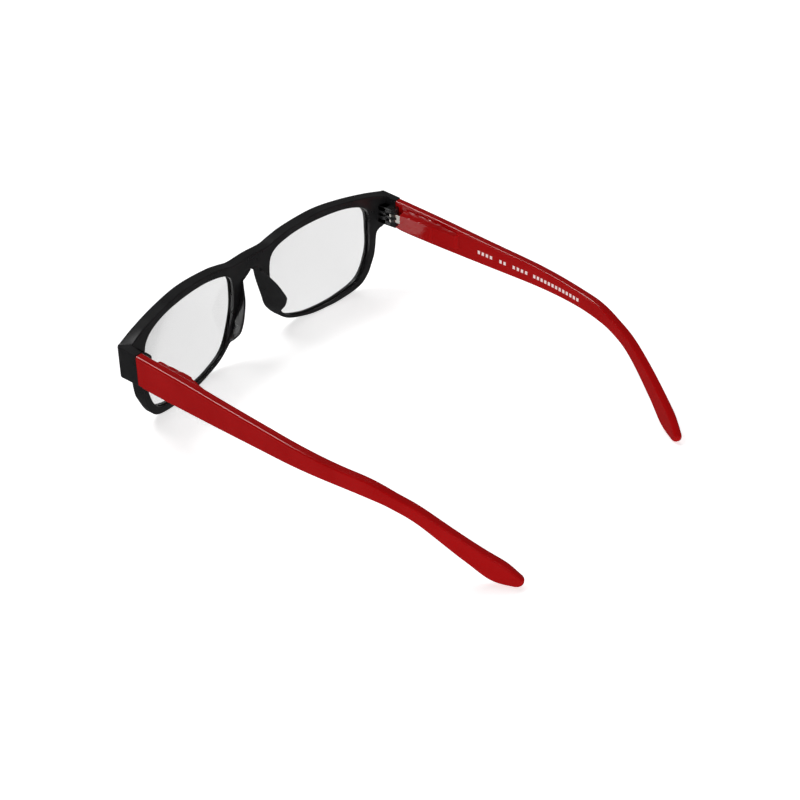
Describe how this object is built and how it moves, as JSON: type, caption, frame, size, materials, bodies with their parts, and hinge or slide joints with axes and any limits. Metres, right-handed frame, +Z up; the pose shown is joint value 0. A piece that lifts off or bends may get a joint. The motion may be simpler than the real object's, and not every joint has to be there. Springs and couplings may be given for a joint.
{
  "type": "folding reading glasses",
  "caption": "Reading glasses with a moulded full-rim front, clear lenses and two slim temples that fold in on sprung hinges.",
  "frame": {"origin": "middle of the footprint, on the surface the open glasses stand on", "axes": "+X to the wearer's left, +Y rearwards along the open temples, +Z up; the front faces -Y"},
  "size_m": [0.1358, 0.1546, 0.0422],
  "materials": {
    "front_plastic": "moulded, satin to glossy black",
    "temple_plastic": "moulded, glossy deep red",
    "lens": "polished clear plastic lens",
    "hinge_steel": "bright nickel-plated steel",
    "housing_steel": "pressed stainless strip",
    "spring_wire": "drawn spring wire"
  },
  "bodies": {
    "front": {"front_frame": "front_plastic", "left_lens": "lens", "right_lens": "lens", "left_hinge_screw": "hinge_steel", "right_hinge_screw": "hinge_steel"},
    "left_tongue": {"left_hinge_tongue": "hinge_steel", "left_rod_nut": "hinge_steel"},
    "left_temple": {"left_temple": "temple_plastic", "left_spring_housing": "housing_steel", "left_stop_plate": "housing_steel", "left_spring": "spring_wire"},
    "right_tongue": {"right_hinge_tongue": "hinge_steel", "right_rod_nut": "hinge_steel"},
    "right_temple": {"right_temple": "temple_plastic", "right_spring_housing": "housing_steel", "right_stop_plate": "housing_steel", "right_spring": "spring_wire"}
  },
  "joints": [
    {"name": "left_fold", "type": "hinge", "parent": "front", "child": "left_tongue", "pos_m": [0.0636, -0.0601, 0.0314], "axis": [0, 0, 1], "range_deg": [0, 86]},
    {"name": "left_spring_slide", "type": "slide", "parent": "left_tongue", "child": "left_temple", "axis": [0, 1, 0], "range_m": [0, 0.001], "stiffness_N_per_m": 1500, "springref_m": -0.002, "deforming": ["left_spring"]},
    {"name": "right_fold", "type": "hinge", "parent": "front", "child": "right_tongue", "pos_m": [-0.0636, -0.0601, 0.0314], "axis": [0, 0, -1], "range_deg": [0, 78]},
    {"name": "right_spring_slide", "type": "slide", "parent": "right_tongue", "child": "right_temple", "axis": [0, 1, 0], "range_m": [0, 0.001], "stiffness_N_per_m": 1500, "springref_m": -0.002, "deforming": ["right_spring"]}
  ]
}
